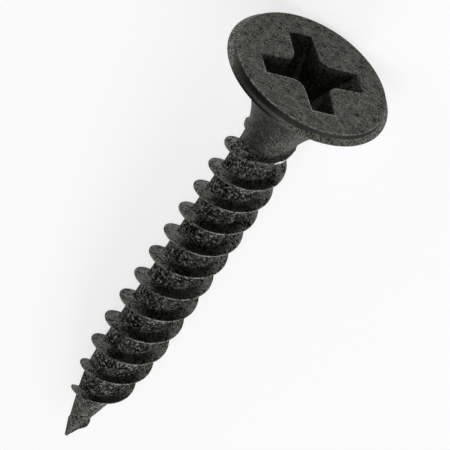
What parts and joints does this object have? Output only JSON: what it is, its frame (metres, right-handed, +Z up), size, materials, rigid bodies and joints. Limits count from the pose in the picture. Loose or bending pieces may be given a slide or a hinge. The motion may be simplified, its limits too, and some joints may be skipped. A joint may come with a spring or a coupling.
{
  "type": "drywall screw",
  "caption": "Drywall screw: flat bugle head with a cross recess, slim shank with a fine two-start thread, and a sharp pinched point; dark phosphate finish.",
  "frame": {"origin": "middle of the lying screw's footprint, on the surface it lies on", "axes": "+X along the screw from the point to the head, +Z up; the screw's own axis rises 7.66 degrees from +X towards +Z, because the head is wider than the thread"},
  "size_m": [0.0252, 0.0084, 0.0083],
  "materials": {
    "phosphated_steel": "matt black phosphate conversion coating on hardened steel, finely speckled"
  },
  "bodies": {
    "root": {"screw": "phosphated_steel"}
  },
  "joints": []
}
